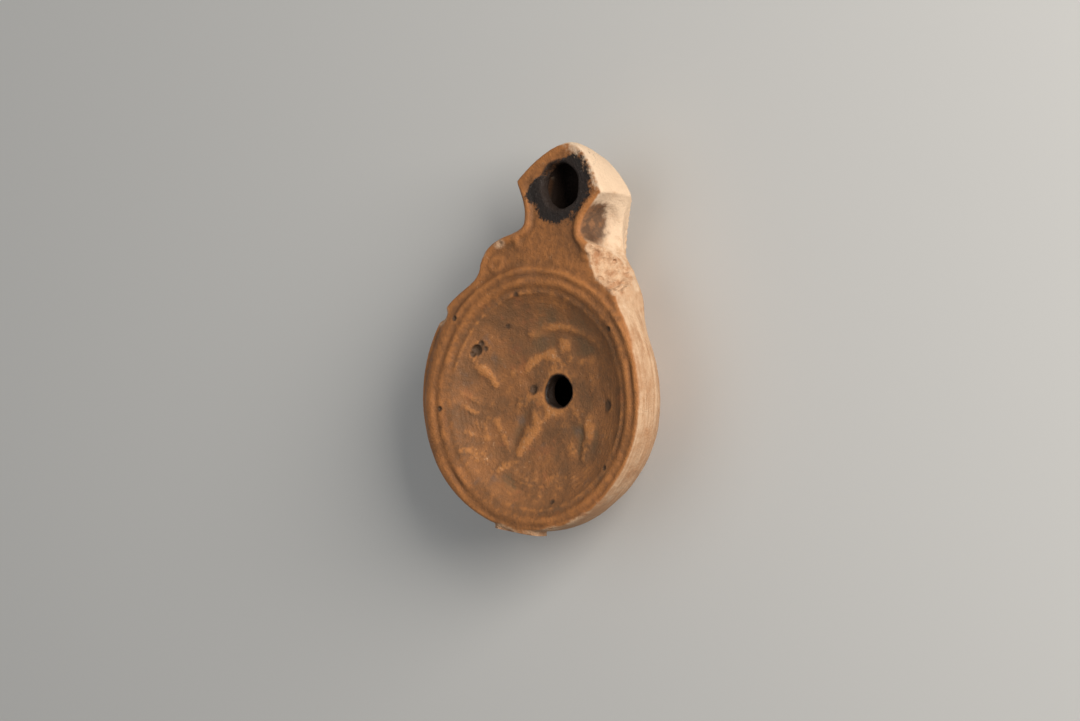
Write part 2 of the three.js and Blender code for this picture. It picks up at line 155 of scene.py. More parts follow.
def top_outline():
    (lx, ly), (nx, ny), (cx, cy) = LOBE, NECK, CORNER
    return chain(
        (lx + 0.3, ly - 1.6),
        [
            ((lx + 0.4, ly - 0.8), (lx, ly)),
            ((lx - 0.2, ly + 3), (lx - 2.8, ly + 5.9), (lx - 6.6, ly + 7.8)),
            ((nx + 3.4, ny - 3.5), (nx + 0.2, ny - 2.4), (nx, ny)),
            ((nx - 0.1, ny + 4.6), (cx - 2.4, cy - 3.6), (cx, cy)),
            ((cx - 2.2, cy + 4.2), (5.5, NOZZLE_TIP - 0.4), (0, NOZZLE_TIP)),
        ],
    )


def side_outline(spread_width, side):
    (ly, ny), (cx, cy) = (LOBE[1], NECK[1]), CORNER
    middle = (spread_width + side) / 2
    return chain(
        (spread_width, ly - 3),
        [
            ((spread_width - 0.4, ly - 2), (spread_width - 0.9, ly - 1)),
            ((spread_width - 2, ly + 1), (middle + 0.8, ly + 3.5), (middle, 35.6)),
            ((side + 1.6, 38.6), (side + 0.5, ny - 1.4), (side, ny + 1.6)),
            ((side - 0.4, ny + 4), (cx - 0.4, cy - 2.6), (cx + 1.1, cy + 0.9)),
            ((cx - 2, cy + 5), (5, EDGE_TIP - 0.6), (0, EDGE_TIP)),
        ],
    )


FORMS = np.stack([top_outline(), side_outline(*LOWER_EDGE), side_outline(*KEEL)])
STARTS = np.array([22.0, 17.0, 17.0])  # where each form's flank leaves the bowl
LEVELS = np.array(  # height, angle where the flank leaves the bowl, form, width, tip
    [
        (0.9, 60, 2, 0.5, 24.4),
        (2.7, 51, 2, 0.62, 34),
        (5.3, 43, 1.8, 0.72, 45.4),
        (8, 36, 1.5, 0.83, 55.6),
        (NOZZLE_EDGE - 1, 32, 1.2, 0.935, EDGE_TIP - 1.9),
        (NOZZLE_EDGE + 1, 31, 1.03, 0.99, EDGE_TIP),
        (14.2, 33, 0.86, 1, EDGE_TIP + 0.4),
        (17, 37, 0.56, 1, EDGE_TIP + 1.2),
        (WIDEST, 42, 0.26, 1, NOZZLE_TIP - 0.4),
        (21.8, 45, 0.08, 1, NOZZLE_TIP),
        (NOZZLE_TOP, 46, 0, 1, NOZZLE_TIP),
    ]
)


def half_outline(z):
    """The lamp's outline on the +X side at a height, from the back of the bowl to the tip."""
    leave, form, width, tip = (np.interp(z, LEVELS[:, 0], LEVELS[:, k]) for k in (1, 2, 3, 4))
    radius, leave = wall_radius(z), math.radians(leave)
    index = min(int(form), 1)
    share = form - index
    start = radius * math.sin(leave)
    mixed = FORMS[index] * (1 - share) + FORMS[index + 1] * share
    origin = STARTS[index] * (1 - share) + STARTS[index + 1] * share
    shorten = (tip - start) / (mixed[-1, 1] - origin)
    flank = np.stack([mixed[:, 0] * width, start + (mixed[:, 1] - origin) * shorten], 1)
    turn = np.linspace(-math.pi / 2, leave, 60)
    bowl = radius * np.stack([np.cos(turn), np.sin(turn)], 1)
    gap = np.linalg.norm(flank[0] - bowl[-1])
    tangent = 0.4 * gap * np.array([-math.sin(leave), math.cos(leave)])
    arrival = flank[1] - flank[0]
    arrival *= 0.3 * gap / np.linalg.norm(arrival)
    blend = chain(bowl[-1], [(bowl[-1] + tangent, flank[0] - arrival, flank[0])])
    return np.concatenate([bowl, blend[1:], flank[1:]])


def outline_distance(line, x, y):
    """Signed distance from points with x >= 0 to a half outline, inside negative."""
    a, b = line[:-1].astype(np.float32), line[1:].astype(np.float32)
    ex, ey = (b - a).T
    wx, wy = x[..., None] - a[:, 0], y[..., None] - a[:, 1]
    t = np.clip((wx * ex + wy * ey) / (ex * ex + ey * ey + 1e-9), 0, 1)
    apart = np.sqrt(((wx - t * ex) ** 2 + (wy - t * ey) ** 2).min(-1))
    spans = (a[:, 1] <= y[..., None]) != (b[:, 1] <= y[..., None])
    crossing = a[:, 0] + (y[..., None] - a[:, 1]) * ex / np.where(np.abs(ey) < 1e-9, 1e-9, ey)
    inside = (spans & (crossing > x[..., None])).sum(-1) % 2 == 1
    return np.where(inside, -apart, apart)


def linear(values, points, low, step):
    """Stretches the first axis of an array onto points by straight lines."""
    place = np.clip((points - low) / step, 0, len(values) - 1.001)
    index = place.astype(int)
    share = (place - index).astype(np.float32).reshape(-1, *[1] * (values.ndim - 1))
    return values[index] * (1 - share) + values[index + 1] * share


coarse_x = axis_points(0, max(-xs[0], xs[-1]) + COARSE, COARSE)
coarse_y = axis_points(ys[0], ys[-1] + COARSE, COARSE)
coarse_z = axis_points(FOOT, HEIGHT + 2 * COARSE, COARSE)
grid_x, grid_y = np.meshgrid(coarse_x, coarse_y, indexing="ij")
slices = np.stack([outline_distance(half_outline(z), grid_x, grid_y) for z in coarse_z], -1)


bowl_share = 1 - ramp(ys, *BOWL_ENDS)
bend = np.maximum(0, (ys - NECK[1]) / (NOZZLE_TIP - NECK[1])) ** 2
plan_shift = BOWL[0] * bowl_share + TIP_DRIFT * bend
from_axis = np.abs(xs[:, None] - plan_shift[None, :])  # from the line down the middle of bowl and nozzle
straight_y = ys - BOWL[1] * bowl_share
straight_y = np.where(straight_y < 0, straight_y / FLATNESS, straight_y)


def over_plan(values):
    """Values over the coarse half plan (and beyond), stretched onto the grid's plan."""
    rows = linear(values.swapaxes(0, 1), straight_y, coarse_y[0], COARSE).swapaxes(0, 1)
    place = np.clip(from_axis / COARSE, 0, len(coarse_x) - 1.001)
    index = place.astype(int)
    share = (place - index).astype(np.float32).reshape(place.shape + (1,) * (values.ndim - 2))
    row = np.arange(len(ys))[None, :]
    return rows[index, row] * (1 - share) + rows[index + 1, row] * share


side = over_plan(slices.astype(np.float32))
side = linear(side.transpose(2, 0, 1), zs, coarse_z[0], COARSE).transpose(1, 2, 0)
keel = ramp(ys, 17, 21)[None, :, None] * ramp(-np.abs(xs), -10, -7)[:, None, None]
side = side + np.maximum(coarse_z[0] - Z, 0) * (0.8 + 3.5 * keel)  # draws in below the foot
slope = np.gradient(side, STEP, axis=2)
side /= np.sqrt(1 + slope * slope)

# --- Top of the lamp --------------------------------------------------------------------------------------
# What the upper mould pressed, as a height over the plan: the rings and the sunk disc, and the nozzle's field
# between raised bands. The rings sit a little off the bowl's middle, and the hand has left them uneven.

DISC_DEPTH = 5.7
FLOOR = HEIGHT - DISC_DEPTH
DISH_RADIUS, DISH_RISE, DISH_POWER = 27.6, 4.0, 4
SCROLL = (11.0, 39.6, 1.7)  # x, y and radius of the knob where the volute leaves the neck
EYE = (17.0, 33.4, 1.8)
SCOOP = (15.2, 47.4, 20.0, (5.0, 5.0, 6.5))  # place and radii of the hollow in the side of the neck
PROFILE = np.array(  # radius and height of the rings
    [
        (28.4, HEIGHT - 1.15),
        (29.2, HEIGHT - 1.45),
        (30.0, HEIGHT - 0.55),
        (30.9, HEIGHT - 0.1),
        (31.8, HEIGHT - 0.45),
        (32.4, HEIGHT - 0.95),
        (33.0, HEIGHT - 0.35),
        (33.7, HEIGHT),
        (35.0, HEIGHT - 0.25),
        (36.2, HEIGHT - 0.6),
        (37.5, HEIGHT - 2.0),
    ]
)


def blur(values, size, axes):
    """Smooths an array over about that many millimetres along some of its axes."""
    reach = math.ceil(2.2 * size / STEP)
    weights = np.exp(-0.5 * (np.arange(-reach, reach + 1) * STEP / size) ** 2)
    weights = (weights / weights.sum()).astype(np.float32)
    for axis in axes:
        edges = [(reach, reach) if a == axis else (0, 0) for a in range(values.ndim)]
        padded = np.moveaxis(np.pad(values, edges, "edge"), axis, 0)
        summed = sum(w * padded[k : k + values.shape[axis]] for k, w in enumerate(weights))
        values = np.moveaxis(summed, 0, axis)
    return values


plan = (xs, ys)
plan_x, plan_y = xs[:, None], ys[None, :]
wobble = 0.3 * noise(15, 3, plan) + 0.16 * noise(5, 4, plan)
ring_radius = np.hypot(plan_x, plan_y) + wobble

fine = np.arange(0, 60, 0.05)
dish = FLOOR + DISH_RISE * (np.minimum(fine, DISH_RADIUS) / DISH_RADIUS) ** DISH_POWER
turned = np.where(fine < DISH_RADIUS, dish, np.interp(fine, *PROFILE.T))
kernel = np.exp(-0.5 * (np.arange(-20, 21) * 0.05 / 0.24) ** 2)
turned = np.convolve(np.pad(turned, 20, "edge"), kernel / kernel.sum(), "valid")
crisp = np.interp(ring_radius, fine, turned)
worn = blur(crisp, 0.85, (0, 1))
keep = np.clip(0.42 + 0.6 * noise(6, 36, plan), 0, 0.9)  # how much of the rings' moulding is left
top = worn + (crisp - worn) * keep
lines = np.sin(2 * math.pi * ring_radius / 1.15) * ramp(ring_radius, 18, 22) * ramp(-ring_radius, -28.4, -26)
top += 0.055 * lines * np.clip(0.5 + noise(9, 5, plan), 0, 1)
top += 0.07 * noise(7, 8, plan) + 0.05 * noise(2.6, 9, plan)

wander_x = plan_x + 0.8 * noise(4.6, 31, plan) + 0.35 * noise(1.9, 32, plan)
wander_y = plan_y + 0.8 * noise(4.6, 33, plan) + 0.35 * noise(1.9, 34, plan)


def bar(ax, ay, bx, by, start_width, end_width, height):
    """A low rounded bar over the plan, its width changing from a to b, its sides wandering a little."""
    ex, ey = bx - ax, by - ay
    t = np.clip(((wander_x - ax) * ex + (wander_y - ay) * ey) / (ex * ex + ey * ey), 0, 1)
    apart = np.hypot(wander_x - ax - t * ex, wander_y - ay - t * ey)
    rounded = 1 - (2 * apart / (start_width + (end_width - start_width) * t)) ** 2
    return height * np.clip(rounded, 0, 1)


FIGURE = [  # from x, y to x, y, width at each end, height
    (4.3, 13.4, 4.9, 15.4, 5.0, 5.4, 0.75),  # head
    (1.6, -0.5, 4.6, 9.6, 9.0, 11.5, 0.6),  # trunk
    (1.4, 11.2, -6.4, 8.4, 5.6, 4.2, 0.75),  # upper arm, raised
    (-6.4, 8.6, -14.6, 3.8, 4.2, 3.0, 0.4),  # forearm
    (-22.4, 8.2, -15.8, 1.4, 4.0, 2.4, 0.85),  # torch in the hand
    (7.4, 10.0, 13.2, 10.6, 5.6, 6.4, 0.6),  # lowered arm under the veil
    (13.2, 10.6, 16.6, 3.0, 5.4, 4.4, 0.35),  # its cloth falling
    (1.4, -1.4, -2.6, -6.0, 8.4, 6.4, 0.6),  # thigh
    (-2.6, -6.0, -5.3, -14.4, 6.0, 3.8, 1.0),  # shin
    (-5.8, -17.4, -11.0, -18.8, 4.4, 3.4, 0.7),  # foot
    (4.6, -1.8, 14.4, -3.0, 8.6, 5.6, 0.4),  # thigh, striding
    (16.0, -3.6, 15.5, -11.8, 5.0, 3.8, 0.9),  # shin
    (6.0, -6.0, 11.0, -12.0, 6.0, 5.0, 0.35),  # skirt between the legs
    (-1.6, 0.4, -7.4, -1.2, 5.4, 4.0, 0.6),  # cloak over the hip
    (-14.6, -6.6, -8.4, -15.2, 2.4, 3.2, 0.45),  # edge of the cloak
    (-16.0, -3.6, -26.0, -1.8, 2.6, 2.0, 0.45),  # folds
    (-17.6, -6.6, -26.4, -4.4, 2.8, 2.0, 0.55),
    (-17.8, -9.4, -26.6, -7.2, 2.8, 2.0, 0.5),
    (-17.0, -12.4, -24.8, -11.4, 2.8, 2.0, 0.5),
    (-15.8, -16.4, -22.4, -16.2, 4.0, 2.6, 0.55),
    (-2.4, -20.4, 6.2, -19.2, 5.2, 6.0, 0.6),  # rock by the foot
    (9.0, -20.2, 12.6, -17.6, 4.0, 3.0, 0.35),
    (3.5, -22.2, 3.4, -26.0, 1.8, 1.4, 0.35),
    (-6.4, 16.4, 0.4, 18.8, 2.4, 2.6, 0.4),  # arched veil
    (0.4, 18.8, 6.0, 19.6, 2.6, 2.6, 0.5),
    (6.0, 19.6, 11.4, 18.8, 2.6, 2.6, 0.5),
    (11.4, 18.8, 17.2, 15.8, 2.6, 2.2, 0.4),
]
CUTS = [  # hollows and folds between the forms: from x, y to x, y, width at each end, depth
    (-6.0, -4.4, -8.4, -13.4, 4.4, 2.6, 0.5),  # beside the shin
    (-9.6, -21.8, -1.0, -23.6, 2.8, 2.6, 0.35),  # under the rock
    (13.2, -5.4, 13.4, -11.4, 2.2, 1.8, 0.35),
    (-18.6, 3.2, -14.4, 0.0, 2.6, 2.0, 0.3),
    (-6.4, 4.8, -3.0, 2.8, 2.8, 2.4, 0.4),
    (-1.6, -17.8, -0.4, -20.8, 1.1, 1.1, 0.4),
    (0.4, -17.6, 1.6, -20.8, 1.1, 1.1, 0.4),
    (2.6, -17.6, 3.6, -20.6, 1.1, 1.1, 0.4),
    (-3.4, 8.4, 0.2, 9.8, 1.1, 1.1, 0.25),
    (-4.6, 6.8, -1.0, 8.0, 1.1, 1.1, 0.25),
    (-12.0, 4.4, -7.2, 6.8, 1.0, 1.0, 0.2),
    (19.6, 4.0, 20.4, -1.0, 2.6, 2.2, 0.25),
]
relief = sum(bar(*stroke) ** 3 for stroke in FIGURE) ** (1 / 3)
relief *= np.clip(0.8 + 0.6 * noise(3.0, 6, plan), 0, 1.2)  # rubbed unevenly
relief -= sum(bar(*stroke) for stroke in CUTS)
relief = 0.62 * blur(relief, 0.5, (0, 1))
top += relief

nozzle_line = half_outline(NOZZLE_TOP)
inset = over_plan(-outline_distance(nozzle_line, grid_x, grid_y).astype(np.float32))  # in from the edge
on_nozzle = ramp(ring_radius, 33.6, 35.2) * ramp(plan_y, 16, 20)
along = ramp(plan_y, 37, 41) * ramp(-plan_y, -55, -51)
band = np.exp(-(((inset - 1.25) / 0.9) ** 2)) - 0.35 * np.exp(-(((inset - 2.9) / 0.45) ** 2))
field = NOZZLE_TOP - 0.3 * ramp(inset, 1.5, 3) + 0.5 * band * along
streaks = np.sin(2 * math.pi * (plan_x + 0.5 * noise(8, 7, plan)) / 1.7) * np.clip(noise(3, 10, plan), 0, 1)
field += (0.05 * streaks + 0.08 * noise(2.2, 35, plan)) * ramp(inset, 2, 3)
for side_sign in (-1, 1):
    knob = np.hypot(wander_x - side_sign * SCROLL[0], (wander_y - SCROLL[1]) * 0.8) / SCROLL[2]
    field += 0.5 * np.clip(1 - knob**2, 0, 1)
eye = np.abs(np.hypot(wander_x + EYE[0], wander_y - EYE[1]) - EYE[2]) / 0.9
field += 0.3 * np.clip(1 - eye**2, 0, 1)
top = top * (1 - on_nozzle) + np.minimum(blur(field, 0.3, (0, 1)), HEIGHT - 0.15) * on_nozzle

slope_x, slope_y = np.gradient(top, STEP)
lean = (1 / np.sqrt(1 + slope_x**2 + slope_y**2)).astype(np.float32)
above = (Z - top[:, :, None].astype(np.float32)) * lean[:, :, None]

# --- Wear and damage --------------------------------------------------------------------------------------
# Handling has rounded every edge and left the wall lumpy, with turning lines round it. The neck is scooped on
# both sides beyond the volutes. One volute is broken off, the shoulder is chipped, and pits mark the disc.

grid = (xs, ys, zs)
rough = 0.55 * noise(1.6, 11, grid) + 0.45 * noise(0.8, 12, grid)


def ellipsoid(x, y, z, radii, turn=0.0):
    """Distance, near enough, to an ellipsoid turned about the vertical."""
    c, s = math.cos(turn), math.sin(turn)
    u, v = (X - x) * c + (Y - y) * s, (Y - y) * c - (X - x) * s
    reach = np.sqrt((u / radii[0]) ** 2 + (v / radii[1]) ** 2 + ((Z - z) / radii[2]) ** 2)
    return (reach - 1) * min(radii)


for side_sign in (-1, 1):
    scoop = ellipsoid(side_sign * SCOOP[0], *SCOOP[1:3], SCOOP[3])
    side = smooth_max(side, -scoop, 0.5)

body = smooth_max(side, above, 0.75)
body = smooth_max(body, -Z, 0.7)
wall = ramp(side - above, -0.5, 1.0)  # the outer wall, as against the top
low_side = ramp(-Z, -23.5, -20.0)
body += wall * low_side * (0.12 + 0.2 * noise(11, 13, grid) + 0.12 * noise(4, 14, grid))
lines = np.sin(2 * math.pi * (Z + 0.6 * noise(9, 15, grid)) / 1.3) * np.clip(noise(6, 16, grid), 0, 1)
body += 0.03 * wall * lines * ramp(-Y, -34, -20)
body += 0.045 * rough * (0.4 + 0.6 * wall)


def on_rim(degrees, radius):
    angle = math.radians(degrees)
    return radius * math.cos(angle), radius * math.sin(angle), angle + math.pi / 2


BROKEN = [  # x, y, z, radii, turn, ruggedness
    (21.2, 36.6, HEIGHT, (9.4, 5.2, 9.5), -0.55, 0.8),  # lost volute
    (25.6, 29.6, HEIGHT - 5.5, (1.6, 3.2, 2.4), 0.7, 0.25),  # scar below it
    (-22.8, 35.2, HEIGHT, (2.2, 1.2, 2.0), 0.8, 0.3),
    (-16.6, 38.6, HEIGHT + 0.2, (1.6, 1.0, 1.2), 0.3, 0.3),
]
CHIPS = [  # degrees round the shoulder, radius, height, radii, ruggedness
    (-57, 35.3, HEIGHT + 0.2, (7.0, 2.4, 2.2), 0.5),
    (-43, 35.7, HEIGHT - 0.2, (3.6, 1.9, 2.2), 0.4),
    (-72, 34.6, HEIGHT - 0.3, (4.0, 1.7, 2.0), 0.4),
    (-30, 36.4, HEIGHT + 0.2, (3.0, 1.5, 1.4), 0.3),
    (152, 38.2, HEIGHT - 1.0, (2.8, 1.5, 2.4), 0.3),
    (-97, 34.9, HEIGHT + 0.1, (3.4, 1.3, 1.5), 0.35),
    (-118, 36.2, HEIGHT + 0.2, (3.2, 1.2, 1.4), 0.3),
    (-142, 38.5, HEIGHT + 0.1, (2.6, 1.1, 1.3), 0.3),
    (172, 38.7, HEIGHT + 0.3, (3.4, 1.0, 1.2), 0.25),
]
scar = np.full(body.shape, 9, np.float32)
breaks = list(BROKEN)
for degrees, radius, z, radii, rugged in CHIPS:
    x, y, turn = on_rim(degrees, radius)
    breaks.append((x, y, z, radii, turn, rugged))
for x, y, z, radii, turn, rugged in breaks:
    scar = np.minimum(scar, ellipsoid(x, y, z, radii, turn) + rugged * rough)
body = smooth_max(body, -scar, 0.25)

PITS = [  # x, y, radius, depth
    (-22.1, 10.4, 1.3, 0.9),
    (-21.0, 12.2, 0.6, 0.5),
    (-23.2, 9.2, 0.6, 0.5),
    (-19.8, 11.0, 0.5, 0.4),
    (-4.1, 2.4, 1.0, 0.6),
    (21.8, 21.2, 0.55, 0.6),
    (21.5, 1.7, 1.0, 0.35),
    (-28.6, 17.9, 0.55, 0.6),
    (-30.6, -6.2, 0.5, 0.5),
    (-9.6, 26.2, 0.5, 0.3),
    (24.6, -13.6, 0.5, 0.4),
    (-13.4, 17.6, 0.45, 0.3),
    (8.4, -24.8, 0.45, 0.3),
]
pit = np.full(body.shape, 9, np.float32)
for x, y, radius, depth in PITS:
    level = float(top[np.abs(xs - x).argmin(), np.abs(ys - y).argmin()])
    pit = np.minimum(pit, ellipsoid(x, y, level, (radius, radius, depth)) + 0.15 * rough)
body = smooth_max(body, -pit, 0.2)

# --- Hollow of the lamp -----------------------------------------------------------------------------------
# The oil chamber keeps the wall's thickness inside the bowl and under the disc. A passage rises from it to
# the wick hole, and the filling hole was pierced beside the middle of the disc.

WICK = (1.0, 55.5, 5.7)
FILLING = (4.2, 3.1, 3.9)

reach = np.arange(0, 40, 0.25)
chamber_line = chain(
    (0, WALL),
    [
        ((9, WALL), (BASE_RADIUS - 2.6, WALL + 0.2)),
        ((24.5, 7.2), (BODY_RADIUS - 5.2, 12.4), (BODY_RADIUS - WALL, HEIGHT - 5.8)),
        ((BODY_RADIUS - WALL, HEIGHT - 3.9), (29.6, HEIGHT - WALL - 1.4)),
        ((22.6, FLOOR - WALL + 0.9), (13, FLOOR - WALL)),
        ((6, FLOOR - WALL - 0.1), (0, FLOOR - WALL - 0.1)),
    ],
)
table_r, table_z = np.meshgrid(reach, zs, indexing="ij")
chamber_table = outline_distance(chamber_line, table_r, table_z)
middle_radius = np.hypot(X[..., 0] - BOWL[0], (Y[..., 0] - BOWL[1]) / FLATNESS)
chamber = linear(chamber_table.astype(np.float32), middle_radius.ravel(), 0, 0.25).reshape(body.shape)

width = 6.9 - 2.2 * ramp(-Z, -14, -8)
middle = TIP_DRIFT * bend[None, :, None]
bed = WALL + np.interp(ys, [20, 44, 58, 62], [1.2, 5.6, 9.6, 11.4])[None, :, None]
passage = smooth_max(np.abs(X - middle) - width, Y - WICK[1] - 6.0, 5)
passage = smooth_max(passage, bed - Z, 3)
passage = smooth_max(passage, Z - (NOZZLE_TOP - WALL), 2)
passage = smooth_max(passage, 26 - Y, 1)
under_disc = 27.5 - middle_radius[:, :, None] - (HEIGHT - WALL - 1.4 - Z)
passage = smooth_max(passage, under_disc, 0.5)
hollow = smooth_min(chamber, passage, 1.0)
for (x, y, radius), mouth, flare in ((WICK, NOZZLE_TOP, 0.7), (FILLING, FLOOR + 0.8, 0.25)):
    open_radius = radius + flare * np.exp(-np.maximum(mouth - Z, 0) / 0.9)
    below = (mouth - 9) - Z
    pierced = np.hypot(X - x, Y - y) - open_radius + 0.22 * rough + 0.25 * noise(4, 21, grid)
    hollow = smooth_min(hollow, smooth_max(pierced, below, 0.5), 0.6)
body = smooth_max(body, -hollow, 0.5)

# --- Skin -------------------------------------------------------------------------------------------------
# One closed mesh over the field: a vertex in every grid cell that the surface crosses, then fewer triangles
# where it is smooth.


def skin(field):
    """Vertices in grid units and quads, wound outward, over the zero surface of a field."""
    inside = field < 0
    near_side, far_side = slice(None, -1), slice(1, None)
    corners = itertools.product((near_side, far_side), repeat=3)
    count = sum(inside[corner].astype(np.uint8) for corner in corners)
    cells = np.argwhere((count > 0) & (count < 8))
    number = np.full(count.shape, -1, np.int32)
    number[tuple(cells.T)] = np.arange(len(cells))
    total, crossings = np.zeros((len(cells), 3)), np.zeros(len(cells))
    for axis in range(3):
        others = [a for a in range(3) if a != axis]
        for p in (0, 1):
            for q in (0, 1):
                offset = np.zeros(3, int)
                offset[others[0]], offset[others[1]] = p, q
                first = cells + offset
                second = first.copy()
                second[:, axis] += 1
                a, b = field[tuple(first.T)], field[tuple(second.T)]
                cut = (a < 0) != (b < 0)
                share = np.where(cut, a / np.where(cut, a - b, 1), 0)
                here = offset + np.zeros((len(cells), 3))
                here[:, axis] += share
                total += here * cut[:, None]
                crossings += cut
    quads = []
    for axis in range(3):
        b, c = [(1, 2), (2, 0), (0, 1)][axis]
        forward = [slice(None)] * 3
        back = [slice(None)] * 3
        forward[axis], back[axis] = slice(1, None), slice(None, -1)
        changed = np.argwhere(inside[tuple(forward)] != inside[tuple(back)])
        changed = changed[(changed[:, b] > 0) & (changed[:, c] > 0)]
        around = []
        for db, dc in ((1, 1), (0, 1), (0, 0), (1, 0)):
            cell = changed.copy()
            cell[:, b] -= db
            cell[:, c] -= dc
            around.append(number[tuple(cell.T)])
        face = np.stack(around, 1)
        flip = ~inside[tuple(changed.T)]
        face[flip] = face[flip][:, ::-1]
        quads.append(face)
    return cells + total / crossings[:, None], np.concatenate(quads)


points, quads = skin(body)
points = points * STEP + np.array([xs[0], ys[0], zs[0]]) - shift
mesh = bpy.data.meshes.new("lamp_skin")
mesh.vertices.add(len(points))
mesh.vertices.foreach_set("co", (points * MM).astype(np.float32).ravel())
mesh.loops.add(quads.size)
mesh.loops.foreach_set("vertex_index", quads.ravel().astype(np.int32))
mesh.polygons.add(len(quads))
mesh.polygons.foreach_set("loop_start", np.arange(0, quads.size, 4, dtype=np.int32))
mesh.update(calc_edges=True)
mesh.validate()
lamp = bpy.data.objects.new("lamp_skin", mesh)
bpy.context.scene.collection.objects.link(lamp)

SKIN_TRIANGLES = 185000
thin = lamp.modifiers.new("fewer triangles", "DECIMATE")
thin.ratio = min(1.0, SKIN_TRIANGLES / (2 * len(quads)))
graph = bpy.context.evaluated_depsgraph_get()
thinned = bpy.data.meshes.new_from_object(lamp.evaluated_get(graph))
lamp.modifiers.clear()
lamp.data = thinned
thinned.name = "lamp_skin"
thinned.shade_smooth()

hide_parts("lamp_body")
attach(lamp, "root")

co = np.empty(len(thinned.vertices) * 3, np.float32)
thinned.vertices.foreach_get("co", co)
co = np.clip(co.reshape(-1, 3), np.array(solid_low), np.array(solid_high))
thinned.vertices.foreach_set("co", co.astype(np.float32).ravel())
thinned.update()

# --- Traces on the surface --------------------------------------------------------------------------------
# What the shape tells about each point of the skin, kept on it for the clay's shader: how far it stands out
# or lies in a groove, and whether it is the outer wall, a break, a pit or the inside of the lamp.


def sampled(values, points):
    """Values of a grid at points in millimetres."""
    place = (points - np.array([xs[0], ys[0], zs[0]])) / STEP
    place = np.clip(place, 0, np.array(values.shape) - 1.001)
    index = place.astype(int)
    share = place - index
    total = 0
    for corner in np.ndindex(2, 2, 2):
        weight = np.prod(np.where(corner, share, 1 - share), axis=1)
        total = total + weight * values[tuple((index + corner).T)]
    return total


points = co / MM + shift
shallow = np.clip(body, -1.6, 1.6)
relief_layers = np.repeat(relief[:, :, None], 2, 2)
traces = {
    "crest": np.clip(sampled(blur(shallow, 0.8, (0, 1, 2)), points) / 0.16, -1, 1),
    "swell": np.clip(sampled(blur(shallow, 1.6, (0, 1, 2)), points) / 0.4, -1, 1),
    "wall": sampled(wall, points),
    "broken": 1 - ramp(sampled(scar, points), 0.1, 0.7),
    "pit": 1 - ramp(sampled(pit, points), 0.05, 0.5),
    "raised": np.clip(sampled(relief_layers, points * (1, 1, 0) + (0, 0, zs[0])) / 0.45, -1, 1),
    "inside": 1 - ramp(sampled(hollow, points), 0.15, 0.9),
}
for name, values in traces.items():
    layer = thinned.attributes.new(name, "FLOAT", "POINT")
    layer.data.foreach_set("value", values.astype(np.float32))

# --- Fired clay -------------------------------------------------------------------------------------------
# Buff clay under the remains of a thin orange-brown slip, oranger on ridges and greyed between them, partly
# the slip's tone and partly painted highlight and painted shade;
# a chalky bloom on the wall, darker pits, painted shade in the hollows and scoops of the nozzle's wall, the
# inside painted dark, and soot baked on round the wick hole.


class Socket:
    """A shader socket that can be reckoned with: each operator adds the node that it needs."""

    def __init__(self, tree, socket):
        self.tree, self.socket = tree, socket

    def node(self, kind, inputs, output=0, **settings):
        """Any other node, its inputs given by name or number, as one of its outputs."""
        made = self.tree.nodes.new(kind)
        for name, value in settings.items():
            setattr(made, name, value)
        for place, value in inputs.items():
            if isinstance(value, Socket):
                self.tree.links.new(value.socket, made.inputs[place])
            else:
                made.inputs[place].default_value = value
        return Socket(self.tree, made.outputs[output])

    def math(self, operation, *others):
        return self.node("ShaderNodeMath", dict(enumerate((self, *others))), operation=operation)

    def __add__(self, other):
        return self.math("ADD", other)

    def __sub__(self, other):
        return self.math("SUBTRACT", other)

    def __mul__(self, other):
        return self.math("MULTIPLY", other)

    def __truediv__(self, other):
        return self.math("DIVIDE", other)

    def __pow__(self, other):
        return self.math("POWER", other)

    def __neg__(self):
        return self.math("MULTIPLY", -1.0)

    __radd__ = __add__
    __rmul__ = __mul__

    def __rsub__(self, other):
        return -self + other

    def ramp(self, start, end):
        """0 before start, 1 after end, easing between."""
        values = {"Value": self, "From Min": start, "From Max": end}
        return self.node("ShaderNodeMapRange", values, interpolation_type="SMOOTHSTEP")

    def mix(self, without, with_it):
        """The first colour where this is 0, the second where it is 1."""
        return self.node("ShaderNodeMix", {0: self, 6: without, 7: with_it}, output=2, data_type="RGBA")


def tone(red, green, blue):
    """A colour given in everyday 0 to 255 steps, as the shader wants it."""
    parts = [part / 255 for part in (red, green, blue)]
    return (*[p / 12.92 if p <= 0.04045 else ((p + 0.055) / 1.055) ** 2.4 for p in parts], 1.0)


clay = bpy.data.materials.new("fired clay")
clay.use_nodes = True
tree = clay.node_tree
shader = tree.nodes["Principled BSDF"]
start = Socket(tree, tree.nodes.new("ShaderNodeTexCoord").outputs["Object"])
place = start.node("ShaderNodeVectorMath", {0: start, 1: (1 / MM,) * 3}, operation="MULTIPLY")
place = place.node("ShaderNodeVectorMath", {0: place, 1: (BOWL[0], BOWL[1], 0.0)}, operation="ADD")
px, py, pz = (place.node("ShaderNodeSeparateXYZ", {0: place}, output=k) for k in range(3))


def trace(name):
    return start.node("ShaderNodeAttribute", {}, output="Fac", attribute_name=name)


def grain(size, detail=3.0, roughness=0.55, seed=0.0, at=None):
    """Noise with lumps of about that many millimetres, between about -0.6 and 0.6."""
    values = {"Vector": at or place, "W": seed, "Scale": 1 / size, "Detail": detail, "Roughness": roughness}
    return place.node("ShaderNodeTexNoise", values, output="Fac", noise_dimensions="4D") * 2.0 - 1.0


def near(x, y, radius_x, radius_y):
    """Distance in plan from the edge of an oval, in shares of its radius."""
    across, up = (px - x) / radius_x, (py - y) / radius_y
    return (across * across + up * up) ** 0.5 - 1.0


